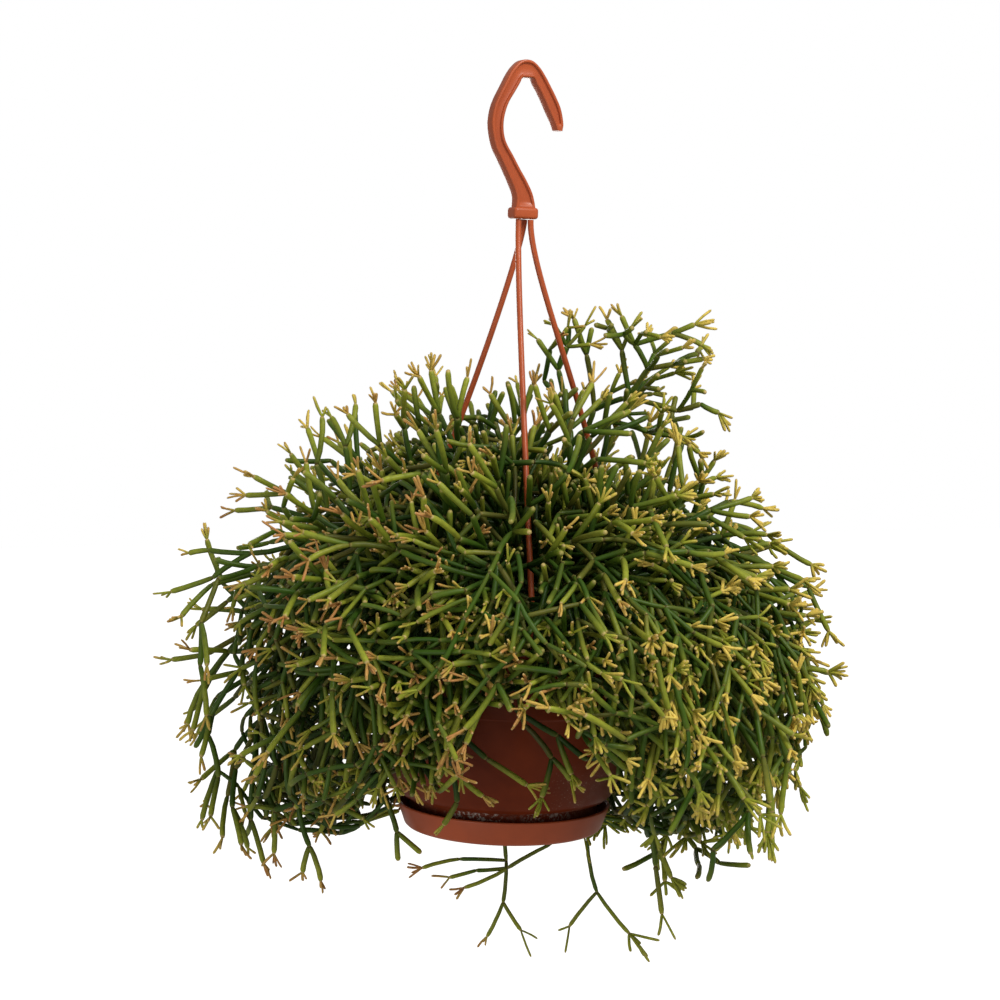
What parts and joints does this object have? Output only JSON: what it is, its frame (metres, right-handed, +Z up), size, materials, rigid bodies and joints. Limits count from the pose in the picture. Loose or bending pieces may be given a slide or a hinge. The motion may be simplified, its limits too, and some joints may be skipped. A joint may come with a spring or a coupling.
{
  "type": "potted rhipsalis in a hanging pot",
  "caption": "Round plastic hanging pot with a clip-on saucer and a hooked hanger, planted with a bushy, branching, leafless rhipsalis that spills over the rim.",
  "frame": {"origin": "middle of the flat seat at the top of the inside of the hook, where the part hangs", "axes": "+Z up; the hook is flat in the XZ plane and opens towards +X; the side of the pot that faces -Y turned by 27 degrees towards -X is the front"},
  "size_m": [0.3162, 0.3186, 0.4592],
  "materials": {
    "hanger_plastic": "semi-gloss moulded plastic",
    "pot_plastic": "semi-gloss moulded plastic, slightly stained by water",
    "saucer_plastic": "semi-gloss moulded plastic",
    "soil": "loose, dull and dark",
    "stem_green": "waxy living stem"
  },
  "bodies": {
    "root": {"hanger_hook": "hanger_plastic", "hanger_leg_front": "hanger_plastic", "hanger_leg_right": "hanger_plastic", "hanger_leg_left": "hanger_plastic", "pot": "pot_plastic", "saucer": "saucer_plastic", "potting_soil": "soil", "stem_01": "stem_green", "stem_02": "stem_green", "stem_03": "stem_green", "stem_04": "stem_green", "stem_05": "stem_green", "stem_06": "stem_green", "stem_07": "stem_green", "stem_08": "stem_green", "stem_09": "stem_green", "stem_10": "stem_green", "stem_11": "stem_green", "stem_12": "stem_green", "stem_13": "stem_green", "stem_14": "stem_green", "stem_15": "stem_green", "stem_16": "stem_green", "stem_17": "stem_green", "stem_18": "stem_green", "stem_19": "stem_green", "stem_20": "stem_green", "stem_21": "stem_green", "stem_22": "stem_green", "stem_23": "stem_green", "stem_24": "stem_green", "stem_25": "stem_green", "stem_26": "stem_green", "stem_27": "stem_green", "stem_28": "stem_green", "stem_29": "stem_green", "stem_30": "stem_green", "stem_31": "stem_green", "stem_32": "stem_green", "stem_33": "stem_green", "stem_34": "stem_green", "stem_35": "stem_green", "stem_36": "stem_green", "stem_37": "stem_green", "stem_38": "stem_green", "stem_39": "stem_green", "stem_40": "stem_green", "stem_41": "stem_green", "stem_42": "stem_green", "stem_43": "stem_green", "stem_44": "stem_green", "stem_45": "stem_green", "stem_46": "stem_green", "stem_47": "stem_green", "stem_48": "stem_green", "stem_49": "stem_green", "stem_50": "stem_green", "stem_51": "stem_green", "stem_52": "stem_green", "stem_53": "stem_green"}
  },
  "joints": []
}
